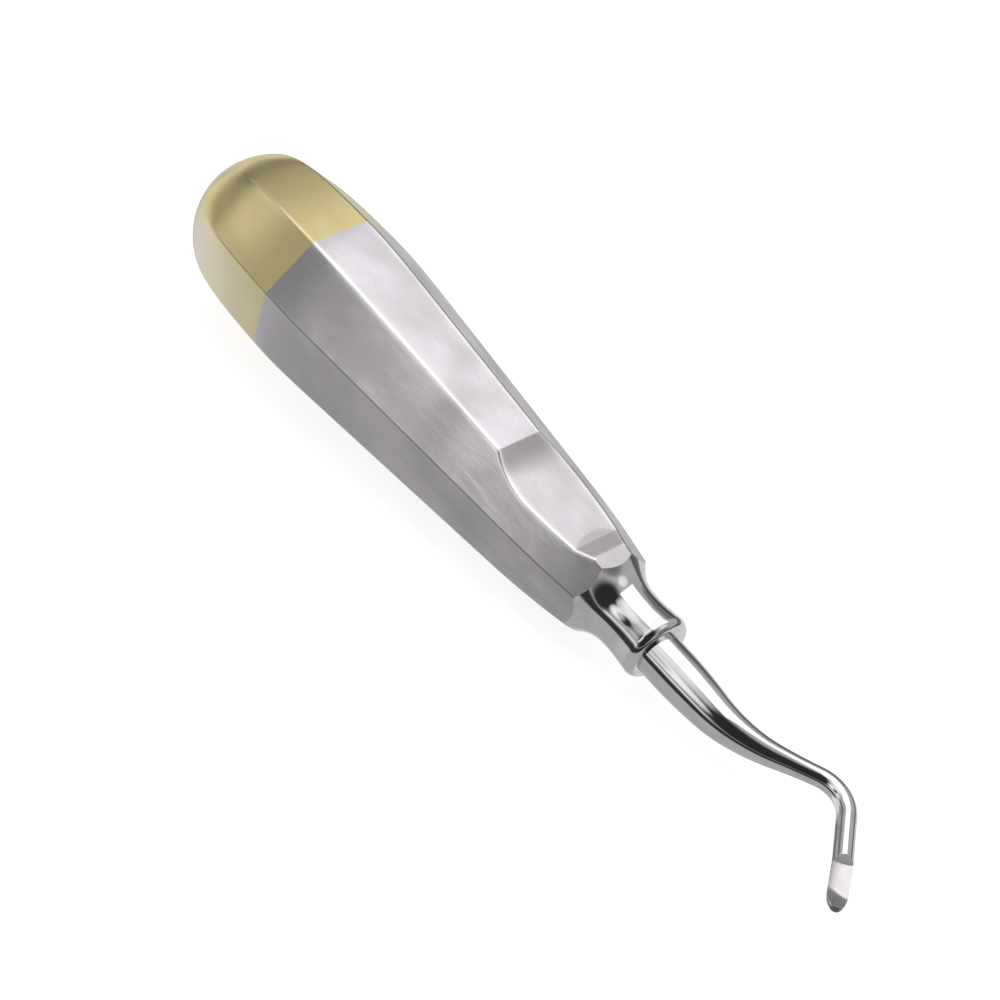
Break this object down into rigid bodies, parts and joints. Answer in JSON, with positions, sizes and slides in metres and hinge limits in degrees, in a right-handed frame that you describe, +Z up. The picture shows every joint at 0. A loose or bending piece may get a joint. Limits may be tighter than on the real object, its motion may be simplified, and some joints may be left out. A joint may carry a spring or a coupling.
{
  "type": "dental elevator",
  "caption": "Bent spoon-blade dental elevator with a hollow octagonal steel handle, thumb rest, gold-plated domed end and polished neck.",
  "frame": {"origin": "bottom centre of the whole instrument's box, on the surface that the instrument lies on", "axes": "+X runs along the instrument from the domed butt to the blade; +Z is up, out of the thumb-rest side, with the facet opposite the thumb rest lying flat on Z = 0; +Y is the side to which the shank first bends before the blade turns back across to -Y"},
  "size_m": [0.1512, 0.0252, 0.0258],
  "materials": {
    "satin_steel": "satin, finely bead-blasted and brushed",
    "gold_plate": "satin gold plating on steel",
    "polished_steel": "mirror polished stainless steel",
    "inner_steel": "machined, out of sight inside the handle"
  },
  "bodies": {
    "root": {"end_cap": "gold_plate", "cap_backing_ring": "inner_steel", "handle_shell_upper": "satin_steel", "handle_shell_lower": "satin_steel", "neck_bolster": "polished_steel", "tang_steady_plug": "inner_steel", "tang_cross_pin": "inner_steel", "working_end": "polished_steel"}
  },
  "joints": []
}
